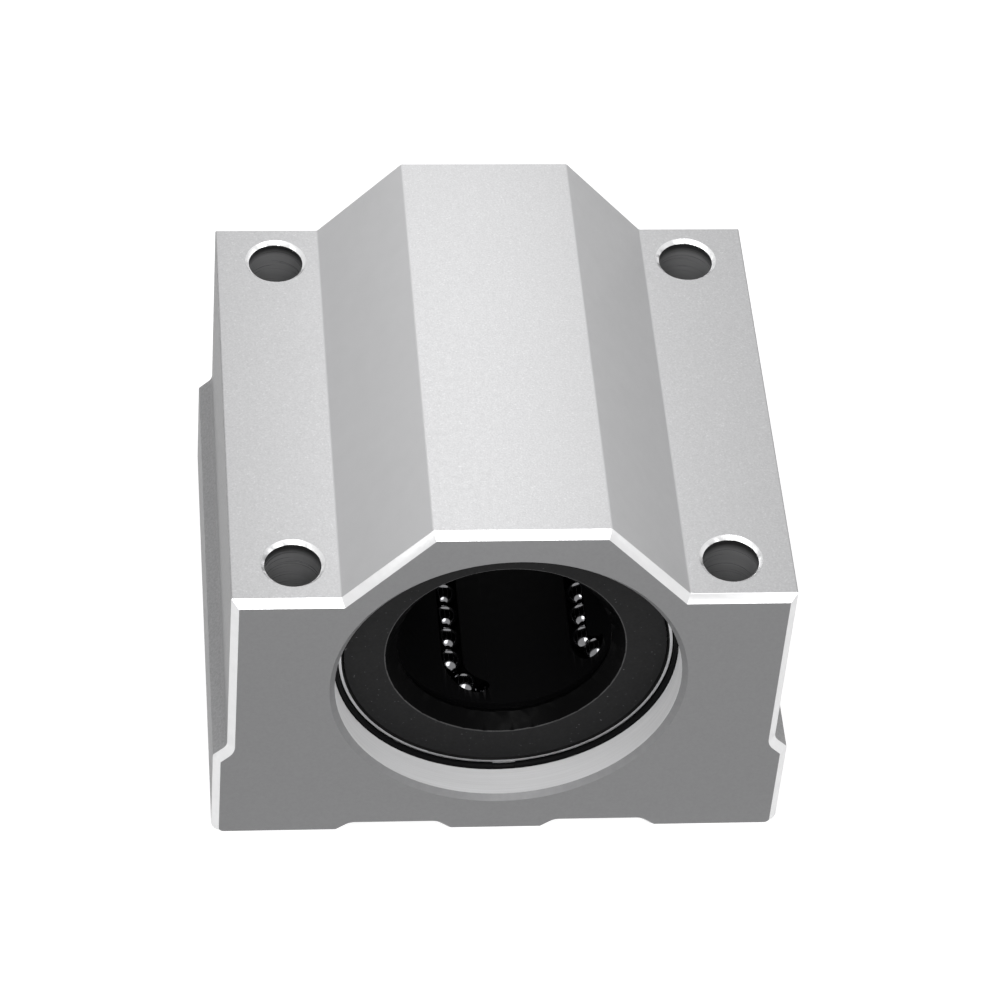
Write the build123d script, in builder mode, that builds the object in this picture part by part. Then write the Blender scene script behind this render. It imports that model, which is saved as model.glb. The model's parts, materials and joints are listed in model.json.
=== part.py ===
"""Linear bearing block: a slide block for a 20 mm shaft with a sealed ball bearing in its bore.

All sizes are in millimetres. X runs across the block, Y along the shaft and Z up. The origin is the
middle of the underside, and the front end is the one at -Y.
"""
import math
import os

from build123d import *

# Bearing: the shaft it runs on, its sleeve and its seat in the housing
shaft_diameter = 20.0
bearing_wall = 6.0
sleeve_length = 42.0
sleeve_chamfer = 0.5
sleeve_lead_in = 0.25
seat_clearance = 0.02
ring_groove_end_distance = 5.75
ring_groove_width = 1.6
ring_groove_depth = 0.75

# Housing: the metal left round the bearing, and where the mounting screws stand
floor_thickness = 5.0
roof_thickness = 4.0
bearing_recess = 4.0
bore_chamfer = 0.5
screw_offset = 4.0
screw_side_distance = 7.0
screw_end_distance = 5.0

# Housing profile: a wide base, an inset upper body with flat shoulders, and a hump over the bore
base_height = 11.0
side_inset = 1.3
hump_rise = 8.6
plateau_width = 16.0
screw_head_room = 8.4
step_round = 1.2
corner_round = 1.2
edge_chamfer = 0.7

# Housing underside: two shallow recesses leave a centre foot and two side feet
centre_foot_width = 9.0
side_foot_width = 12.0
recess_depth = 1.0
recess_slope_run = 1.3
recess_round = 0.8

# Mounting holes: threaded from below, clear through from the shoulders
through_diameter = 5.2
thread_diameter = 6.0
thread_depth = 12.0
hole_chamfer = 0.35

# Ball circuits: each has a loaded row on the shaft, a return row lifted behind it and two turns
circuit_count = 5
first_row_angle = -22.0
ball_diameter = 2.778
ball_play = 0.08
raceway_play = 0.01
return_row_lift = 1.36
land_side_clearance = 0.19

# Cage between the sleeve and the shaft
cage_bore_clearance = 0.5
cage_clearance = 0.15
channel_play = 0.1
cage_end_wall = 0.8

# End stack inside the sleeve: a split side ring, then the seal, set back from the sleeve's end
side_ring_thickness = 0.6
side_ring_bore_clearance = 1.4
side_ring_seat_depth = 0.45
side_ring_gap = 2.4
end_play = 0.05
seal_wall = 1.0
seal_setback = 0.1
seal_thickness = 2.15
seal_mouth_depth = 1.2
seal_mouth_round = 0.15
seal_lip_depth = 1.4
seal_lip_land = 0.4
seal_back_taper = 0.7

# Snap rings of round wire, each in a groove of the housing's bore, against the sleeve's chamfer
wire_diameter = 0.7
wire_sunk = 0.3
wire_play = 0.05
snap_ring_gap = 2.2
snap_ring_gap_angle = 3.0

# Overall sizes: the block grows with the bearing that it holds
sleeve_diameter = shaft_diameter + 2 * bearing_wall
bore_height = sleeve_diameter / 2 + floor_thickness
block_height = bore_height + sleeve_diameter / 2 + roof_thickness
block_length = sleeve_length + 2 * bearing_recess
screw_spacing_x = sleeve_diameter + 2 * screw_offset
screw_spacing_y = block_length - 2 * screw_end_distance
block_width = screw_spacing_x + 2 * screw_side_distance

# Places on the housing's profile and bore
upper_width = block_width - 2 * side_inset
shoulder_height = block_height - hump_rise
hump_width = screw_spacing_x - screw_head_room
side_foot_start = block_width / 2 - side_foot_width
centre_foot_edge = centre_foot_width / 2
bore_radius = sleeve_diameter / 2 + seat_clearance
wire_radius = wire_diameter / 2
wire_groove_radius = wire_radius + wire_play
snap_ring_radius = bore_radius + wire_sunk - wire_radius

# Radii inside the bearing, from the shaft outwards
shaft_radius = shaft_diameter / 2
ball_radius = ball_diameter / 2
loaded_row_radius = shaft_radius + ball_radius
return_row_radius = loaded_row_radius + return_row_lift
channel_radius = ball_radius + channel_play
land_width = 2 * (channel_radius - land_side_clearance)
land_radius = shaft_radius + ball_diameter + raceway_play
relief_radius = return_row_radius + ball_radius + ball_play
cage_inner_radius = shaft_radius + cage_bore_clearance
cage_outer_radius = relief_radius - cage_clearance
side_ring_inner_radius = shaft_radius + side_ring_bore_clearance
side_ring_seat_radius = relief_radius + side_ring_seat_depth
seal_mouth_radius = shaft_radius + seal_mouth_depth
seal_seat_radius = sleeve_diameter / 2 - seal_wall

# A circuit lies in the plane that touches its loaded row, so its turns follow from the two radii
turn_radius = math.sqrt(return_row_radius**2 - loaded_row_radius**2) / 2

# Distances from mid-length, from the sleeve's end inwards: the straights take the length left
sleeve_end = sleeve_length / 2
seal_face = sleeve_end - seal_setback
seal_start = seal_face - seal_thickness
side_ring_start = seal_start - end_play - side_ring_thickness
cage_half_length = side_ring_start - end_play
straight_length = 2 * (cage_half_length - cage_end_wall - channel_radius - turn_radius)

# Each snap ring bears on the sleeve's chamfer, which slopes at 45 degrees
chamfer_foot = sleeve_end + sleeve_diameter / 2 - sleeve_chamfer
snap_ring_distance = chamfer_foot - snap_ring_radius + math.sqrt(2) * wire_groove_radius

# The balls fill the straights and turns, as close as their play allows
ball_pitch = ball_diameter + ball_play
straight_steps = math.floor(straight_length / ball_pitch)
turn_steps = math.floor(math.pi / (2 * math.asin(ball_pitch / (2 * turn_radius))))
row_angles = [first_row_angle + 360 / circuit_count * number for number in range(circuit_count)]

# The section plane holds the shaft's axis, with its own x along Y and its own y along Z
shaft_axis = Axis((0, 0, bore_height), (0, 1, 0))
section_plane = Plane(origin=(0, 0, bore_height), x_dir=(0, 1, 0), z_dir=(1, 0, 0))
# The cross plane is square to the shaft, with its own x along X and its own y along Z
cross_plane = Plane(origin=(0, 0, bore_height), x_dir=(1, 0, 0), z_dir=(0, -1, 0))
ends = {"front": -1, "rear": 1}


def row_direction(angle):
    """Unit vector of the cross plane, at an angle counted from straight down towards +X."""
    return Vector(math.sin(math.radians(angle)), -math.cos(math.radians(angle)))


def circuit_plane(angle):
    """Plane of one circuit: origin on its loaded row, x towards its return row, z outwards."""
    outwards = row_direction(angle)
    across = row_direction(angle + 90)
    return Plane(
        origin=shaft_axis.position + Vector(outwards.X, 0, outwards.Y) * loaded_row_radius,
        x_dir=(across.X, 0, across.Y),
        z_dir=(outwards.X, 0, outwards.Y),
    )


def turned(points, side=1, mode=Mode.ADD):
    """Revolve a closed section about the shaft: points are (distance from mid-length, radius)."""
    with BuildSketch(section_plane) as section:
        with BuildLine():
            Polyline([(side * distance, radius) for distance, radius in points], close=True)
        make_face()
    revolve(section.sketch, axis=shaft_axis, mode=mode)


def mirrored_vertices(sketch, *points):
    """The sketch's vertices at the given points and at their mirror images across the middle."""
    return [
        sketch.vertices().sort_by_distance(Vertex(side * x, y, 0))[0]
        for x, y in points
        for side in (-1, 1)
    ]


# Housing: an extruded bar, chamfered round both ends, bored and drilled
with BuildPart() as housing:
    with BuildSketch(Plane.XZ) as profile:
        with BuildLine():
            Polyline(
                (0, 0),
                (centre_foot_edge, 0),
                (centre_foot_edge + recess_slope_run, recess_depth),
                (side_foot_start - recess_slope_run, recess_depth),
                (side_foot_start, 0),
                (block_width / 2, 0),
                (block_width / 2, base_height),
                (upper_width / 2, base_height + side_inset),
                (upper_width / 2, shoulder_height),
                (hump_width / 2, shoulder_height),
                (plateau_width / 2, block_height),
                (0, block_height),
                close=True,
            )
        make_face()
        mirror(about=Plane.YZ)
        fillet(mirrored_vertices(profile, (block_width / 2, 0)), corner_round)
        fillet(mirrored_vertices(profile, (upper_width / 2, base_height + side_inset)), step_round)
        fillet(
            mirrored_vertices(
                profile,
                (centre_foot_edge + recess_slope_run, recess_depth),
                (side_foot_start - recess_slope_run, recess_depth),
            ),
            recess_round,
        )
    extrude(amount=block_length / 2, both=True)
    chamfer(faces().filter_by(Axis.Y).edges(), edge_chamfer)

    mouth_radius = bore_radius + bore_chamfer
    turned(
        [
            (-block_length / 2, 0),
            (-block_length / 2, mouth_radius),
            (-block_length / 2 + bore_chamfer, bore_radius),
            (block_length / 2 - bore_chamfer, bore_radius),
            (block_length / 2, mouth_radius),
            (block_length / 2, 0),
        ],
        mode=Mode.SUBTRACT,
    )
    with BuildSketch(section_plane) as ring_grooves:
        with Locations(*[(side * snap_ring_distance, snap_ring_radius) for side in ends.values()]):
            Circle(wire_groove_radius)
            Rectangle(2 * wire_groove_radius, wire_diameter, align=(Align.CENTER, Align.MAX))
    revolve(ring_grooves.sketch, axis=shaft_axis, mode=Mode.SUBTRACT)

    with GridLocations(screw_spacing_x, screw_spacing_y, 2, 2):
        Cylinder(
            through_diameter / 2,
            shoulder_height,
            align=(Align.CENTER, Align.CENTER, Align.MIN),
            mode=Mode.SUBTRACT,
        )
        Cylinder(
            thread_diameter / 2,
            thread_depth,
            align=(Align.CENTER, Align.CENTER, Align.MIN),
            mode=Mode.SUBTRACT,
        )
    hole_rims = edges().filter_by(GeomType.CIRCLE).filter_by(Plane.XY).group_by(Axis.Z)
    chamfer(hole_rims[-1], hole_chamfer)
    chamfer(hole_rims[0], hole_chamfer)
housing.part.label = "housing"

# Bearing sleeve: hardened tube with outer ring grooves, stepped ends and one raceway land a circuit
with BuildPart() as bearing_sleeve:
    turned(
        [
            (-sleeve_end, seal_seat_radius + sleeve_lead_in),
            (-sleeve_end, sleeve_diameter / 2 - sleeve_chamfer),
            (-sleeve_end + sleeve_chamfer, sleeve_diameter / 2),
            (sleeve_end - sleeve_chamfer, sleeve_diameter / 2),
            (sleeve_end, sleeve_diameter / 2 - sleeve_chamfer),
            (sleeve_end, seal_seat_radius + sleeve_lead_in),
            (sleeve_end - sleeve_lead_in, seal_seat_radius),
            (seal_start, seal_seat_radius),
            (seal_start, side_ring_seat_radius),
            (side_ring_start, side_ring_seat_radius),
            (side_ring_start, relief_radius),
            (-side_ring_start, relief_radius),
            (-side_ring_start, side_ring_seat_radius),
            (-seal_start, side_ring_seat_radius),
            (-seal_start, seal_seat_radius),
            (-sleeve_end + sleeve_lead_in, seal_seat_radius),
        ]
    )
    ring_groove_end = sleeve_end - ring_groove_end_distance
    for side in ends.values():
        turned(
            [
                (ring_groove_end, sleeve_diameter / 2),
                (ring_groove_end, sleeve_diameter / 2 - ring_groove_depth),
                (ring_groove_end - ring_groove_width, sleeve_diameter / 2 - ring_groove_depth),
                (ring_groove_end - ring_groove_width, sleeve_diameter / 2),
            ],
            side=side,
            mode=Mode.SUBTRACT,
        )
    with BuildSketch(cross_plane) as lands:
        for angle in row_angles:
            with Locations(Location(row_direction(angle) * relief_radius, angle)):
                Rectangle(land_width, 2 * (relief_radius - land_radius))
        Circle(land_radius, mode=Mode.SUBTRACT)
    extrude(lands.sketch, amount=straight_length / 2, both=True)
bearing_sleeve.part.label = "bearing_sleeve"

# Ball cage: a tube whose racetrack channels are open to the sleeve all round, and open to the
# shaft along the loaded rows, where the slot is too narrow for a ball to fall through
with BuildPart() as ball_cage:
    turned(
        [
            (-cage_half_length, cage_inner_radius),
            (-cage_half_length, cage_outer_radius),
            (cage_half_length, cage_outer_radius),
            (cage_half_length, cage_inner_radius),
        ]
    )
    for angle in row_angles:
        track_plane = circuit_plane(angle)
        with BuildSketch(track_plane) as channel:
            with Locations((turn_radius, 0)):
                SlotCenterToCenter(straight_length, 2 * (turn_radius + channel_radius), 90)
                SlotCenterToCenter(
                    straight_length, 2 * (turn_radius - channel_radius), 90, mode=Mode.SUBTRACT
                )
        extrude(channel.sketch, amount=cage_outer_radius, mode=Mode.SUBTRACT)
        with BuildLine(track_plane) as track:
            loaded_line = Line((0, -straight_length / 2), (0, straight_length / 2))
            far_turn = TangentArc(loaded_line @ 1, (2 * turn_radius, straight_length / 2),
                                  tangent=loaded_line % 1)
            return_line = Line(far_turn @ 1, (2 * turn_radius, -straight_length / 2))
            TangentArc(return_line @ 1, loaded_line @ 0, tangent=return_line % 1)
        way_plane = Plane(track.line @ 0, x_dir=track_plane.x_dir, z_dir=track.line % 0)
        with BuildSketch(way_plane) as ball_way:
            Circle(channel_radius)
        sweep(ball_way.sketch, path=track.wire(), mode=Mode.SUBTRACT)
ball_cage.part.label = "ball_cage"

# Balls: the rows stand on the straights, and the turning balls share each turn evenly
row_places = [
    straight_length * (step / straight_steps - 0.5) for step in range(straight_steps + 1)
]
turn_angles = [math.pi * step / turn_steps for step in range(1, turn_steps)]
ball_places = {
    "loaded": [(0, along) for along in row_places],
    "return": [(2 * turn_radius, along) for along in row_places],
    "turning": [
        (
            turn_radius * (1 - math.cos(turned_by)),
            side * (straight_length / 2 + turn_radius * math.sin(turned_by)),
        )
        for side in ends.values()
        for turned_by in turn_angles
    ],
}
ball_groups = []
for number, angle in enumerate(row_angles, start=1):
    for group, places in ball_places.items():
        with BuildPart(circuit_plane(angle)) as balls:
            with Locations(*places):
                Sphere(ball_radius)
        balls.part.label = f"{group}_balls_{number}"
        ball_groups.append(balls)

# Each end: a split side ring that keeps the cage in, the shaft seal, and a snap ring outside
side_rings = []
end_seals = []
snap_rings = []
for end, side in ends.items():
    with BuildPart() as side_ring:
        with BuildSketch(cross_plane.offset(-side * side_ring_start)) as ring_face:
            Circle(side_ring_seat_radius - end_play)
            Circle(side_ring_inner_radius, mode=Mode.SUBTRACT)
            Rectangle(
                side_ring_gap,
                side_ring_seat_radius,
                align=(Align.CENTER, Align.MIN),
                mode=Mode.SUBTRACT,
            )
        extrude(ring_face.sketch, amount=-side * side_ring_thickness)
    side_ring.part.label = f"side_ring_{end}"
    side_rings.append(side_ring)

    with BuildPart() as end_seal:
        turned(
            [
                (seal_start, seal_seat_radius - seat_clearance),
                (seal_face, seal_seat_radius - seat_clearance),
                (seal_face, seal_mouth_radius),
                (seal_face - seal_lip_depth, shaft_radius),
                (seal_face - seal_lip_depth - seal_lip_land, shaft_radius),
                (seal_start, shaft_radius + seal_back_taper),
            ],
            side=side,
        )
        end_circles = edges().filter_by(GeomType.CIRCLE).group_by(Axis.Y)[-1 if side > 0 else 0]
        fillet(end_circles.sort_by(SortBy.RADIUS)[0], seal_mouth_round)
    end_seal.part.label = f"end_seal_{end}"
    end_seals.append(end_seal)

    half_gap = math.degrees(snap_ring_gap / snap_ring_radius) / 2
    first_end = row_direction(snap_ring_gap_angle - half_gap)
    first_plane = Plane(
        origin=shaft_axis.position, x_dir=(0, 1, 0), z_dir=(first_end.Y, 0, -first_end.X)
    )
    with BuildPart() as snap_ring:
        with BuildSketch(first_plane) as wire_section:
            with Locations((side * snap_ring_distance, snap_ring_radius)):
                Circle(wire_radius)
        revolve(wire_section.sketch, axis=shaft_axis, revolution_arc=360 - 2 * half_gap)
    snap_ring.part.label = f"snap_ring_{end}"
    snap_rings.append(snap_ring)

os.makedirs("parts", exist_ok=True)
pieces = [housing, bearing_sleeve, ball_cage, *ball_groups, *side_rings, *end_seals, *snap_rings]
for piece in pieces:
    export_step(piece.part, f"parts/{piece.part.label}.step")
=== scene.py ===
"""Linear bearing block: finishes, screw threads, floor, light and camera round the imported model.

All sizes are in metres, in the model's own frame: X runs across the block, Y along the shaft and Z
up, with the front end at -Y and the feet on Z = 0. Angles are in degrees.
"""
import json
import math

import bmesh
import bpy
from mathutils import Matrix, Vector

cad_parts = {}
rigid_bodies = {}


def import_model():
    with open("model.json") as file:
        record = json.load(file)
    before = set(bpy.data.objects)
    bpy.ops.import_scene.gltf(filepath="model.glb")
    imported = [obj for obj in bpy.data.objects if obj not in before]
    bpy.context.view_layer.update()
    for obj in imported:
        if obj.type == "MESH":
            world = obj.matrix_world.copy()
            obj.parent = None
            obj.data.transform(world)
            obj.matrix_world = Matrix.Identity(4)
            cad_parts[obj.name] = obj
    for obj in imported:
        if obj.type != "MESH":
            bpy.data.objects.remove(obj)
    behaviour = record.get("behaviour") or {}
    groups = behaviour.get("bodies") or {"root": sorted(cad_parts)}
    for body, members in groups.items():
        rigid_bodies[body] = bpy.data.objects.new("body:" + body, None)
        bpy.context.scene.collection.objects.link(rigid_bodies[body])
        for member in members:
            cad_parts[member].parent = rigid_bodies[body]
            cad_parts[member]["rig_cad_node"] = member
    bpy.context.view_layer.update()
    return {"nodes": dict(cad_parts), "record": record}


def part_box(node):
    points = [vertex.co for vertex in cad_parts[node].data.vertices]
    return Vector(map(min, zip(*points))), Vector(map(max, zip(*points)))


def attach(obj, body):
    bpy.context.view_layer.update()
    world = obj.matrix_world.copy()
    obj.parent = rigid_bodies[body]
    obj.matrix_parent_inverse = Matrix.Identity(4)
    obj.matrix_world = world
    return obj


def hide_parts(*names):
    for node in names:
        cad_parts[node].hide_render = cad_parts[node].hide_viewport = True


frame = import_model()

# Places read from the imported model
MM = 0.001
mounts = {mount["name"]: mount for mount in frame["record"]["mounts"]}
node_slots = {part["node"]: part["material_slot"] for part in frame["record"]["subparts"]}
housing_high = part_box("housing")[1]
snap_ring_low, snap_ring_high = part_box("snap_ring_rear")
sleeve_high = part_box("bearing_sleeve")[1]
bore_radius = sleeve_high.x
shaft_height = mounts["shaft_bore"]["pos_m"][2]
shoulder_height = mounts["shoulder_screws"]["pos_m"][2]
screw_half_x = mounts["base_screws"]["dims"]["spacing_x_mm"] * MM / 2
screw_half_y = mounts["base_screws"]["dims"]["spacing_y_mm"] * MM / 2
thread_radius = mounts["base_screws"]["dims"]["hole_r_mm"] * MM
drill_radius = mounts["shoulder_screws"]["dims"]["hole_r_mm"] * MM
screw_places = [
    (x, y) for x in (-screw_half_x, screw_half_x) for y in (-screw_half_y, screw_half_y)
]

# Camera: where the picture was taken from, for a square picture 1000 pixels wide
picture_width = 1000
sensor_width = 36.0
camera_azimuth = 7.81
camera_elevation = 45.80
camera_roll = 5.07
camera_distance = 419.4 * MM
focal_pixels = 4369.0
centre_column = 488.7
centre_row = 496.9
aim_height = 20 * MM
nearest_seen = 0.01
farthest_seen = 20

# Lamps: broad soft lamps from above and from the front, and a strip close over the hump
top_energy = 0.8
top_angle = 40.0
top_travel = (0.03, 0.36, -0.93)
front_energy = 0.85
front_angle = 28.0
front_travel = (0.095, 0.69, -0.717)
lamp_height = 0.4
strip_energy = 0.0192
strip_width = 20 * MM
strip_length = 120 * MM
strip_height = 35 * MM
strip_shift = -3.6 * MM

# Surroundings: what they add to other light, and how bright they and the floor show
surroundings_light = 0.2
surroundings_shown = 1.0
floor_size = 6.0
floor_tone = 0.35
floor_lift = 0.9
floor_drop = 0.05 * MM

# Meshes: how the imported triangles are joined, where shading breaks, and the housing's broken edges
merge_distance = 1e-7
flat_angle = 0.05
quad_angle = 25.0
smooth_angle = 30.0
long_edge_break = 0.12 * MM
long_edge_length = 40 * MM
long_edge_angle = 40.0

# Finishes by place: how near to a hole, a groove, an end or a side a face has to lie
radius_tolerance = 0.03 * MM
wall_tolerance = 0.8 * MM
mouth_depth = 0.8 * MM
side_margin = 2 * MM
groove_margin = 0.1 * MM
sleeve_rim = 0.3 * MM
chamfer_width = 0.9 * MM
chamfer_reach = 1 * MM

# Finishes by slant: how much of a face's normal lies along an axis
least_slant = 0.3
chamfer_slant = 0.4
rounded_slant = 0.7
nearly_square = 0.95
square_on = 0.99
slope_lean = 0.2

# Textures: where most of a noise's values lie, and how far above them its specks start
noise_low = 0.3
noise_high = 0.7
speck_rise = 0.06
skin_colour = (0.53, 0.53, 0.537)
# Painted shade at the top of the screw holes' walls: how far down it is fully dark, and how far it
# then fades.
rim_shade = 0.8 * MM

# Thread of the screw holes
thread_pitch = 1.0 * MM
thread_length = 12.0 * MM
thread_run_in = 0.6 * MM
thread_root_width = 0.86 * MM
thread_crest_width = 0.2 * MM
thread_bite = 0.03 * MM
thread_steps = 28


def deselect_all():
    """Leave edit mode and select nothing."""
    if bpy.context.object and bpy.context.object.mode != "OBJECT":
        bpy.ops.object.mode_set(mode="OBJECT")
    bpy.ops.object.select_all(action="DESELECT")


def make_active(piece):
    """Select one object alone and make it the active one."""
    deselect_all()
    piece.select_set(True)
    bpy.context.view_layer.objects.active = piece


def edit(piece, mode):
    """Go into edit mode on one object, for its "VERT"s or "EDGE"s, with nothing selected."""
    make_active(piece)
    bpy.ops.object.mode_set(mode="EDIT")
    bpy.ops.mesh.select_mode(type=mode)
    bpy.ops.mesh.select_all(action="DESELECT")


def select_where(piece, elements, wanted):
    """In edit mode, select the mesh's elements ("verts" or "edges") that pass a test."""
    mesh = bmesh.from_edit_mesh(piece.data)
    for element in getattr(mesh, elements):
        if wanted(element):
            element.select_set(True)
    bmesh.update_edit_mesh(piece.data)


def settle(piece):
    """Put a new piece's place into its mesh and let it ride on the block."""
    make_active(piece)
    bpy.ops.object.transform_apply(location=True, rotation=True, scale=True)
    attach(piece, "root")


def clad(node):
    """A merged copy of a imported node, shown in its place, with its flat faces made whole."""
    make_active(frame["nodes"][node])
    bpy.ops.object.duplicate()
    piece = bpy.context.object
    del piece["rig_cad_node"]
    piece.name = f"{node}_finish"
    bpy.ops.object.mode_set(mode="EDIT")
    bpy.ops.mesh.select_all(action="SELECT")
    bpy.ops.mesh.remove_doubles(threshold=merge_distance)
    bpy.ops.mesh.dissolve_limited(angle_limit=math.radians(flat_angle))
    bpy.ops.mesh.tris_convert_to_quads(
        face_threshold=math.radians(quad_angle), shape_threshold=math.pi
    )
    bpy.ops.object.mode_set(mode="OBJECT")
    piece.data.materials.clear()
    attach(piece, "root")
    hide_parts(node)
    return piece


def shade(piece):
    """Shade smooth where faces meet at a small angle, with flat faces kept flat."""
    edit(piece, "EDGE")
    bpy.ops.mesh.edges_select_sharp(sharpness=math.radians(smooth_angle))
    bpy.ops.mesh.mark_sharp()
    bpy.ops.object.mode_set(mode="OBJECT")
    bpy.ops.object.shade_smooth(keep_sharp_edges=True)
    weighting = piece.modifiers.new("flat_faces", "WEIGHTED_NORMAL")
    weighting.keep_sharp = True
    bpy.ops.object.modifier_apply(modifier=weighting.name)


class Finish:
    """A material made of one Principled shader and the textures that feed it."""

    def __init__(self, name, colour, metallic, roughness, specular=0.5):
        self.material = bpy.data.materials.new(name)
        self.material.use_nodes = True
        self.tree = self.material.node_tree
        self.shader = self.tree.nodes["Principled BSDF"]
        self.colour = colour
        self.shader.inputs["Base Color"].default_value = (*colour, 1)
        self.shader.inputs["Metallic"].default_value = metallic
        self.shader.inputs["Roughness"].default_value = roughness
        self.shader.inputs["Specular IOR Level"].default_value = specular
        self.place = self.tree.nodes.new("ShaderNodeTexCoord").outputs["Object"]
        self.relief = None

    def stretched(self, scale):
        """The Object coordinates scaled along each axis, so that a pattern runs in lines."""
        mapping = self.tree.nodes.new("ShaderNodeMapping")
        mapping.inputs["Scale"].default_value = scale
        self.tree.links.new(self.place, mapping.inputs["Vector"])
        return mapping.outputs["Vector"]

    def noise(self, size, detail=2.0, vector=None):
        """Noise with features of the given size in metres."""
        node = self.tree.nodes.new("ShaderNodeTexNoise")
        node.inputs["Scale"].default_value = 1 / size
        node.inputs["Detail"].default_value = detail
        self.tree.links.new(vector or self.place, node.inputs["Vector"])
        return node.outputs["Fac"]

    def spread(self, value, low, high, start=noise_low, end=noise_high):
        """Map a value from its start and end to a low and a high number."""
        node = self.tree.nodes.new("ShaderNodeMapRange")
        node.inputs["From Min"].default_value = start
        node.inputs["From Max"].default_value = end
        node.inputs["To Min"].default_value = low
        node.inputs["To Max"].default_value = high
        self.tree.links.new(value, node.inputs["Value"])
        return node.outputs["Result"]

    def tint(self, value, dark, light, start=noise_low, end=noise_high, speck=None):
        """Vary the base colour between two brightnesses of itself, with specks at its peaks."""
        ramp = self.tree.nodes.new("ShaderNodeValToRGB")
        ramp.color_ramp.elements[0].position = start
        ramp.color_ramp.elements[1].position = end
        ramp.color_ramp.elements[0].color = (*[part * dark for part in self.colour], 1)
        ramp.color_ramp.elements[1].color = (*[part * light for part in self.colour], 1)
        if speck:
            peak = ramp.color_ramp.elements.new(end + speck_rise)
            peak.color = (*[min(part * speck, 1) for part in self.colour], 1)
        self.tree.links.new(value, ramp.inputs["Fac"])
        self.tree.links.new(ramp.outputs["Color"], self.shader.inputs["Base Color"])

    def gloss(self, value, low, high):
        """Vary the roughness between two numbers."""
        self.tree.links.new(self.spread(value, low, high), self.shader.inputs["Roughness"])

    def times(self, value, other):
        """The product of two values."""
        node = self.tree.nodes.new("ShaderNodeMath")
        node.operation = "MULTIPLY"
        self.tree.links.new(value, node.inputs[0])
        self.tree.links.new(other, node.inputs[1])
        return node.outputs["Value"]

    def height(self):
        """The height above the mounting face."""
        node = self.tree.nodes.new("ShaderNodeSeparateXYZ")
        self.tree.links.new(self.place, node.inputs["Vector"])
        return node.outputs["Z"]

    def bump(self, value, depth):
        """Raise the surface by a texture, over any relief that is already there."""
        node = self.tree.nodes.new("ShaderNodeBump")
        node.inputs["Distance"].default_value = depth
        node.inputs["Strength"].default_value = 1.0
        self.tree.links.new(value, node.inputs["Height"])
        if self.relief:
            self.tree.links.new(self.relief, node.inputs["Normal"])
        self.relief = node.outputs["Normal"]
        self.tree.links.new(self.relief, self.shader.inputs["Normal"])


def blasted_aluminium():
    """Fine blasted and clear anodised skin of the drawn bar."""
    finish = Finish("blasted_aluminium", colour=skin_colour, metallic=0.1, roughness=0.5)
    grain = finish.noise(size=0.16 * MM, detail=3)
    finish.tint(grain, dark=0.91, light=1.06, end=0.66, speck=1.25)
    finish.gloss(finish.noise(size=0.5 * MM), low=0.42, high=0.6)
    finish.bump(finish.noise(size=4 * MM), depth=0.01 * MM)
    finish.bump(finish.noise(size=0.7 * MM, detail=3), depth=0.012 * MM)
    finish.bump(grain, depth=0.02 * MM)
    return finish.material


def drawn_slope():
    """Smooth drawn slopes of the hump, which the blasting hardly reached."""
    finish = Finish("drawn_slope", colour=skin_colour, metallic=0.1, roughness=0.5)
    finish.tint(finish.noise(size=2 * MM, detail=4), dark=0.985, light=1.015)
    finish.gloss(finish.noise(size=0.5 * MM), low=0.44, high=0.56)
    finish.bump(finish.noise(size=0.3 * MM, detail=3), depth=0.003 * MM)
    return finish.material


def milled_end():
    """Sawn and face-milled end of the bar, smoother than the skin, and coloured darker than it as
    painted shade.
    """
    # The dark colour is painted shade on the ends; the smoother milled surface is real.
    finish = Finish("milled_end", colour=(0.31, 0.31, 0.316), metallic=0.1, roughness=0.42)
    finish.tint(finish.noise(size=0.3 * MM, detail=4), dark=0.97, light=1.03)
    finish.gloss(finish.noise(size=0.4 * MM), low=0.36, high=0.5)
    finish.bump(finish.noise(size=0.2 * MM, detail=3), depth=0.006 * MM)
    return finish.material


def milled_side():
    """Milled sides of the base, darker and coarser than the skin."""
    finish = Finish("milled_side", colour=(0.4, 0.4, 0.407), metallic=0.1, roughness=0.48)
    grain = finish.noise(size=0.22 * MM, detail=3)
    finish.tint(grain, dark=0.84, light=1.12)
    finish.gloss(finish.noise(size=0.4 * MM), low=0.42, high=0.56)
    finish.bump(grain, depth=0.02 * MM)
    return finish.material


def cut_edge():
    """Bright machined chamfers round the ends and the holes."""
    finish = Finish("cut_edge", colour=(0.8, 0.8, 0.805), metallic=0.85, roughness=0.42)
    finish.tint(finish.noise(size=1.5 * MM, detail=3), dark=0.95, light=1.0)
    finish.gloss(finish.noise(size=0.3 * MM), low=0.36, high=0.48)
    finish.bump(finish.noise(size=0.25 * MM), depth=0.004 * MM)
    return finish.material


def turned_bore():
    """Turned wall of the bore, bright but dull, with fine tool lines round it."""
    finish = Finish("turned_bore", colour=(0.79, 0.79, 0.795), metallic=0.85, roughness=0.92)
    lines = finish.noise(size=0.12 * MM, vector=finish.stretched((0.012, 1, 0.012)))
    finish.tint(lines, dark=0.94, light=1.04)
    finish.gloss(lines, low=0.86, high=0.98)
    finish.bump(lines, depth=0.008 * MM)
    return finish.material


def bore_mouth():
    """Darker turned chamfer at the bore's mouth."""
    finish = Finish("bore_mouth", colour=(0.29, 0.29, 0.296), metallic=0.1, roughness=0.5)
    finish.tint(finish.noise(size=0.8 * MM, detail=3), dark=0.94, light=1.04)
    finish.gloss(finish.noise(size=0.3 * MM), low=0.44, high=0.56)
    return finish.material


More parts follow.
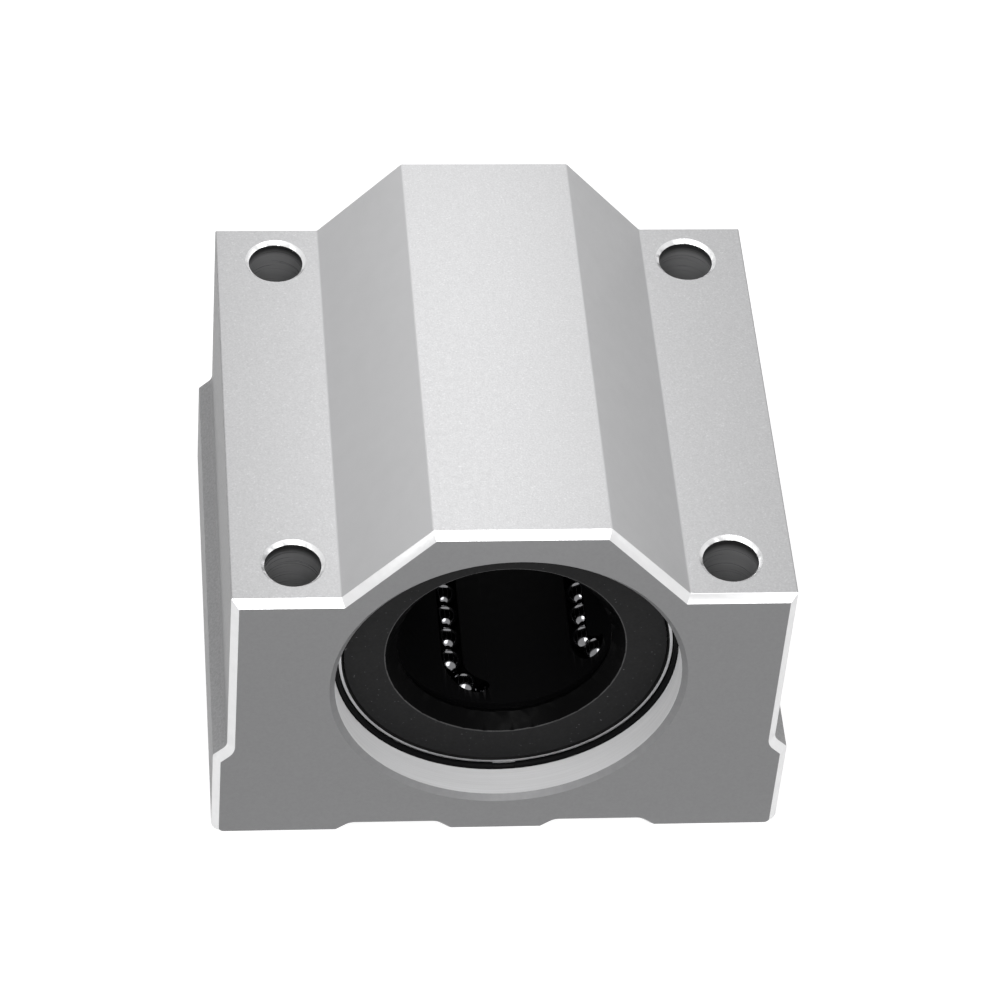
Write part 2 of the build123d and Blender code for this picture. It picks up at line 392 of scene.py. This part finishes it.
def ring_groove():
    """Narrow grooves that hold the snap rings, and the sleeve's chamfer in them, coloured near black
    as painted shade.
    """
    # The near-black colour is painted shade, as falls deep in the narrow grooves.
    finish = Finish(
        "ring_groove", colour=(0.005, 0.005, 0.005), metallic=0.0, roughness=0.45, specular=0.05
    )
    finish.tint(finish.noise(size=0.6 * MM, detail=3), dark=0.8, light=1.2)
    finish.gloss(finish.noise(size=0.3 * MM), low=0.38, high=0.5)
    return finish.material


def drilled_wall():
    """Drilled walls of the screw holes and their threads, smooth, with painted shade as a dark rim
    at the top.
    """
    finish = Finish("drilled_wall", colour=(0.3, 0.3, 0.305), metallic=0.3, roughness=0.3)
    lines = finish.noise(size=0.15 * MM, vector=finish.stretched((0.02, 0.02, 1)))
    # Painted shade: the colour falls to a dark rim at the top of the wall, under the chamfer.
    rim_height = shoulder_height - rim_shade
    clear_of_painted_shade = finish.spread(
        finish.height(), low=1, high=0, start=rim_height - rim_shade, end=rim_height
    )
    # Tool lines, darkened at the top by the painted shade of the rim.
    brightness = finish.times(finish.spread(lines, low=0.85, high=1), clear_of_painted_shade)
    finish.tint(brightness, dark=0.12, light=1.0, start=0, end=1)
    finish.gloss(lines, low=0.25, high=0.4)
    finish.bump(lines, depth=0.006 * MM)
    return finish.material


def ground_steel():
    """Hardened and ground bearing steel, with fine lines round it."""
    finish = Finish("ground_steel", colour=(0.62, 0.62, 0.64), metallic=0.95, roughness=0.25)
    lines = finish.noise(size=0.08 * MM, vector=finish.stretched((0.02, 1, 0.02)))
    finish.tint(lines, dark=0.9, light=1.03)
    finish.gloss(lines, low=0.2, high=0.34)
    finish.bump(lines, depth=0.003 * MM)
    return finish.material


def dull_rim():
    """Turned ends of the bearing sleeve, duller than its ground skin."""
    finish = Finish("dull_rim", colour=(0.6, 0.6, 0.61), metallic=0.9, roughness=0.4)
    finish.tint(finish.noise(size=0.8 * MM, detail=3), dark=0.92, light=1.05)
    finish.gloss(finish.noise(size=0.3 * MM), low=0.34, high=0.46)
    return finish.material


def polished_steel():
    """Polished balls, coloured far darker than steel as painted shade."""
    # The dark colour is painted shade, in place of the dark inside of the bearing that the balls
    # reflect.
    finish = Finish("polished_steel", colour=(0.2, 0.2, 0.207), metallic=1.0, roughness=0.1)
    finish.gloss(finish.noise(size=0.6 * MM), low=0.08, high=0.12)
    return finish.material


def stamped_steel():
    """Stamped side rings."""
    finish = Finish("stamped_steel", colour=(0.5, 0.5, 0.52), metallic=0.9, roughness=0.35)
    finish.tint(finish.noise(size=1.2 * MM, detail=3), dark=0.9, light=1.05)
    finish.gloss(finish.noise(size=0.25 * MM), low=0.28, high=0.42)
    return finish.material


def cage_resin():
    """Black moulded resin of the ball cage."""
    finish = Finish(
        "cage_resin", colour=(0.003, 0.003, 0.0033), metallic=0.0, roughness=0.55, specular=0.06
    )
    finish.gloss(finish.noise(size=0.8 * MM, detail=3), low=0.48, high=0.62)
    finish.bump(finish.noise(size=0.2 * MM), depth=0.004 * MM)
    return finish.material


def seal_rubber():
    """Black moulded seal rubber with a satin skin and a few specks of dust."""
    finish = Finish(
        "seal_rubber", colour=(0.014, 0.014, 0.0146), metallic=0.0, roughness=0.45, specular=0.1
    )
    finish.tint(finish.noise(size=0.3 * MM, detail=3), dark=0.9, light=1.15, speck=8)
    finish.gloss(finish.noise(size=1.1 * MM, detail=4), low=0.34, high=0.5)
    finish.bump(finish.noise(size=0.18 * MM, detail=3), depth=0.005 * MM)
    finish.bump(finish.noise(size=1.6 * MM), depth=0.01 * MM)
    return finish.material


def seal_ridge():
    """Rounded rim of the seal's mouth, coloured lighter than the seal face as a painted highlight.
    """
    # The colour, lighter than the seal face, is a painted highlight along the mouth's rim.
    finish = Finish(
        "seal_ridge", colour=(0.04, 0.04, 0.041), metallic=0.0, roughness=0.32, specular=0.35
    )
    finish.tint(finish.noise(size=0.6 * MM, detail=3), dark=0.7, light=1.4)
    finish.gloss(finish.noise(size=0.5 * MM, detail=3), low=0.26, high=0.4)
    return finish.material


def seal_throat():
    """The seal's lip and the cone that leads to it, coloured darker than the seal face as painted
    shade.
    """
    # The colour, darker than the seal face, is painted shade inside the mouth; the roughness is the
    # lip's own.
    finish = Finish(
        "seal_throat", colour=(0.0012, 0.0012, 0.0013), metallic=0.0, roughness=0.4, specular=0.03
    )
    finish.gloss(finish.noise(size=0.9 * MM, detail=4), low=0.3, high=0.5)
    finish.bump(finish.noise(size=0.5 * MM, detail=3), depth=0.01 * MM)
    return finish.material


def blackened_wire():
    """Blackened spring wire of the snap rings."""
    finish = Finish(
        "blackened_wire", colour=(0.003, 0.003, 0.0033), metallic=0.0, roughness=0.5, specular=0.05
    )
    lines = finish.noise(size=0.12 * MM, vector=finish.stretched((0.1, 1, 0.1)))
    finish.gloss(lines, low=0.42, high=0.56)
    finish.bump(lines, depth=0.004 * MM)
    return finish.material


def from_shaft(point):
    """Distance of a point from the shaft's axis."""
    return math.hypot(point.x, point.z - shaft_height)


def from_screw(point):
    """Distance of a point from the axis of the nearest screw hole."""
    return math.hypot(abs(point.x) - screw_half_x, abs(point.y) - screw_half_y)


def housing_finish(face):
    """Which finish a face of the housing has, by its place and its slant."""
    centre = face.center
    across, along, upward = abs(face.normal.x), abs(face.normal.y), abs(face.normal.z)
    if from_screw(centre) < thread_radius + radius_tolerance and upward < nearly_square:
        return "cut_edge" if upward > least_slant else "drilled_wall"
    near_wall = from_shaft(centre) < bore_radius + wall_tolerance
    in_groove = snap_ring_low.y - groove_margin < abs(centre.y) < snap_ring_high.y + groove_margin
    # Faces inside the snap ring grooves get the near-black painted shade.
    if in_groove and near_wall and from_shaft(centre) > bore_radius + radius_tolerance:
        return "ring_groove"
    if along > square_on:
        return "milled_end"
    if near_wall and across + upward > least_slant:
        at_mouth = abs(centre.y) > housing_high.y - mouth_depth and along > least_slant
        return "bore_mouth" if at_mouth else "turned_bore"
    if along > chamfer_slant:
        return "cut_edge"
    if abs(centre.x) > housing_high.x - side_margin:
        return "milled_side"
    if slope_lean < across < 1 - slope_lean and face.normal.z > slope_lean:
        return "drawn_slope"
    return "blasted_aluminium"


def sleeve_finish(face):
    """Which finish a face of the sleeve has: outer chamfer in painted shade, dull end or ground
    skin.
    """
    from_middle = abs(face.center.y)
    slanted = least_slant < abs(face.normal.y) < nearly_square
    outermost = from_shaft(face.center) > bore_radius - chamfer_width
    # The outer chamfer beside the snap ring gets the groove's near-black painted shade.
    if slanted and outermost and from_middle > snap_ring_low.y - chamfer_reach:
        return "ring_groove"
    return "dull_rim" if from_middle > sleeve_high.y - sleeve_rim else "ground_steel"


def seal_finish(face):
    """Which finish a face of an end seal has: flat face, rim of the mouth, or cone and lip."""
    along = abs(face.normal.y)
    if along > square_on:
        return "seal_rubber"
    # The mouth's rounded rim gets a painted highlight, and the cone and lip painted shade.
    return "seal_ridge" if along > rounded_slant else "seal_throat"


def made(*makers):
    """The materials that the given functions make, under the functions' names."""
    return {maker.__name__: maker() for maker in makers}


def paint(piece, names, choose):
    """Give each face the finish that a test names for it."""
    for name in names:
        piece.data.materials.append(finishes[name])
    for face in piece.data.polygons:
        face.material_index = names.index(choose(face))


def is_long_edge(edge):
    """Whether an edge runs the length of the housing and is sharp."""
    length = abs(edge.verts[0].co.y - edge.verts[1].co.y)
    if length <= long_edge_length or len(edge.link_faces) != 2:
        return False
    return edge.calc_face_angle() > math.radians(long_edge_angle)


def dress_housing():
    """The housing, with its long edges just broken and a finish for each kind of face."""
    piece = clad("housing")
    edit(piece, "EDGE")
    select_where(piece, "edges", is_long_edge)
    bpy.ops.mesh.bevel(offset=long_edge_break, segments=2)
    bpy.ops.object.mode_set(mode="OBJECT")
    names = [
        "blasted_aluminium", "drawn_slope", "milled_end", "milled_side", "cut_edge", "turned_bore",
        "bore_mouth", "ring_groove", "drilled_wall",
    ]
    paint(piece, names, housing_finish)
    shade(piece)


def screw_threads():
    """The metric thread in the lower part of each mounting hole, as a helical ridge."""
    middle = (thread_radius + thread_bite + drill_radius) / 2
    depth = thread_radius + thread_bite - drill_radius
    deselect_all()
    bpy.ops.mesh.primitive_plane_add(
        size=1, location=(middle, 0, thread_run_in), rotation=(math.radians(90), 0, 0)
    )
    thread = bpy.context.object
    thread.scale = (depth, thread_root_width, 1)
    bpy.ops.object.transform_apply(location=True, rotation=True, scale=True)
    edit(thread, "VERT")
    select_where(thread, "verts", lambda vert: vert.co.x < middle)
    bpy.ops.transform.resize(value=(1, 1, thread_crest_width / thread_root_width))
    bpy.ops.mesh.select_all(action="SELECT")
    bpy.ops.mesh.delete(type="ONLY_FACE")
    bpy.ops.object.mode_set(mode="OBJECT")
    winding = thread.modifiers.new("winding", "SCREW")
    winding.axis = "Z"
    winding.screw_offset = thread_pitch
    winding.iterations = round((thread_length - 2 * thread_run_in) / thread_pitch)
    winding.steps = thread_steps
    winding.render_steps = thread_steps
    winding.use_merge_vertices = False
    bpy.ops.object.modifier_apply(modifier=winding.name)
    edit(thread, "VERT")
    bpy.ops.mesh.select_all(action="SELECT")
    bpy.ops.mesh.remove_doubles(threshold=merge_distance)
    bpy.ops.mesh.fill_holes(sides=4)
    bpy.ops.mesh.select_all(action="SELECT")
    bpy.ops.mesh.normals_make_consistent(inside=False)
    bpy.ops.object.mode_set(mode="OBJECT")
    thread.data.materials.append(finishes["drilled_wall"])
    shade(thread)
    for number, (x, y) in enumerate(screw_places, start=1):
        make_active(thread)
        bpy.ops.object.duplicate()
        copy = bpy.context.object
        copy.name = f"screw_thread_{number}"
        copy.location = (x, y, 0)
        settle(copy)
    make_active(thread)
    bpy.ops.object.delete()


def dress_inner_pieces():
    """The bearing's own pieces, the seals and the rings, each smooth and in its finish."""
    names = {
        "bearing_steel": ["ground_steel", "dull_rim", "ring_groove"],
        "cage_plastic": ["cage_resin"],
        "ball_steel": ["polished_steel"],
        "ring_steel": ["stamped_steel"],
        "seal_rubber": ["seal_rubber", "seal_ridge", "seal_throat"],
        "snap_ring_steel": ["blackened_wire"],
    }
    choices = {"bearing_steel": sleeve_finish, "seal_rubber": seal_finish}
    for node, slot in node_slots.items():
        if slot in names:
            piece = clad(node)
            paint(piece, names[slot], choices.get(slot, lambda face: names[slot][0]))
            shade(piece)


def seen_rays(tree):
    """1 for rays from the camera, off metal and through glass, and 0 for light that spreads."""
    path = tree.nodes.new("ShaderNodeLightPath")
    seen = path.outputs["Is Camera Ray"]
    for kind in ("Is Glossy Ray", "Is Transmission Ray"):
        either = tree.nodes.new("ShaderNodeMath")
        either.operation = "MAXIMUM"
        tree.links.new(seen, either.inputs[0])
        tree.links.new(path.outputs[kind], either.inputs[1])
        seen = either.outputs["Value"]
    return seen


def pale_floor():
    """Matt floor that keeps the block's soft shadow and shows as white, also in metal."""
    material = bpy.data.materials.new("pale_floor")
    material.use_nodes = True
    tree = material.node_tree
    tree.nodes.clear()
    surface = tree.nodes.new("ShaderNodeBsdfDiffuse")
    surface.inputs["Color"].default_value = (floor_tone, floor_tone, floor_tone, 1)
    strength = tree.nodes.new("ShaderNodeMath")
    strength.operation = "MULTIPLY"
    strength.inputs[1].default_value = floor_lift
    tree.links.new(seen_rays(tree), strength.inputs[0])
    glow = tree.nodes.new("ShaderNodeEmission")
    tree.links.new(strength.outputs["Value"], glow.inputs["Strength"])
    both = tree.nodes.new("ShaderNodeAddShader")
    tree.links.new(surface.outputs["BSDF"], both.inputs[0])
    tree.links.new(glow.outputs["Emission"], both.inputs[1])
    output = tree.nodes.new("ShaderNodeOutputMaterial")
    tree.links.new(both.outputs["Shader"], output.inputs["Surface"])
    return material


def set_floor():
    """A wide pale floor, a hair below the feet so that it shares no plane with them."""
    deselect_all()
    bpy.ops.mesh.primitive_plane_add(size=floor_size, location=(0, 0, -floor_drop))
    floor = bpy.context.object
    floor.name = "floor"
    floor.data.materials.append(pale_floor())


def set_world():
    """Soft light from all round, which shows as white to the camera and in metal."""
    world = bpy.data.worlds.new("pale_surroundings")
    bpy.context.scene.world = world
    world.use_nodes = True
    tree = world.node_tree
    strength = tree.nodes.new("ShaderNodeMapRange")
    strength.inputs["To Min"].default_value = surroundings_light
    strength.inputs["To Max"].default_value = surroundings_shown
    tree.links.new(seen_rays(tree), strength.inputs["Value"])
    background = tree.nodes["Background"]
    background.inputs["Color"].default_value = (1, 1, 1, 1)
    tree.links.new(strength.outputs["Result"], background.inputs["Strength"])


def broad_lamp(name, energy, angle, travel):
    """A broad soft lamp far off, whose light travels along the given direction."""
    deselect_all()
    bpy.ops.object.light_add(type="SUN", location=(0, 0, lamp_height))
    lamp = bpy.context.object
    lamp.name = name
    lamp.data.energy = energy
    lamp.data.angle = math.radians(angle)
    lamp.rotation_euler = Vector(travel).to_track_quat("-Z", "Y").to_euler()


def set_lamps():
    """Broad soft lamps from above and from the front, and a strip close over the hump."""
    broad_lamp("top_lamp", top_energy, top_angle, top_travel)
    broad_lamp("front_lamp", front_energy, front_angle, front_travel)
    bpy.ops.object.light_add(type="AREA", location=(strip_shift, 0, housing_high.z + strip_height))
    strip = bpy.context.object
    strip.name = "strip_lamp"
    strip.data.shape = "RECTANGLE"
    strip.data.size = strip_width
    strip.data.size_y = strip_length
    strip.data.energy = strip_energy
    strip.visible_camera = False


def set_camera():
    """The camera at the picture's viewing angle."""
    azimuth = math.radians(camera_azimuth)
    elevation = math.radians(camera_elevation)
    roll = math.radians(camera_roll)
    level_part = math.cos(elevation)
    forward = Vector(
        (math.sin(azimuth) * level_part, math.cos(azimuth) * level_part, -math.sin(elevation))
    )
    level = Vector((math.cos(azimuth), -math.sin(azimuth), 0))
    upright = level.cross(forward)
    right = level * math.cos(roll) + upright * math.sin(roll)
    up = upright * math.cos(roll) - level * math.sin(roll)
    deselect_all()
    bpy.ops.object.camera_add()
    camera = bpy.context.object
    camera.name = "picture_camera"
    camera.rotation_euler = Matrix((right, up, -forward)).transposed().to_euler()
    camera.location = Vector((0, 0, aim_height)) - forward * camera_distance
    camera.data.sensor_width = sensor_width
    camera.data.lens = focal_pixels * sensor_width / picture_width
    camera.data.shift_x = (picture_width / 2 - centre_column) / picture_width
    camera.data.shift_y = (centre_row - picture_width / 2) / picture_width
    camera.data.clip_start = nearest_seen
    camera.data.clip_end = farthest_seen
    bpy.context.scene.camera = camera


finishes = made(
    blasted_aluminium, drawn_slope, milled_end, milled_side, cut_edge, turned_bore, bore_mouth,
    ring_groove, drilled_wall, ground_steel, dull_rim, polished_steel, stamped_steel, cage_resin,
    seal_rubber, seal_ridge, seal_throat, blackened_wire,
)
dress_housing()
screw_threads()
dress_inner_pieces()
set_floor()
set_world()
set_lamps()
set_camera()
bpy.context.scene.view_settings.view_transform = "Standard"
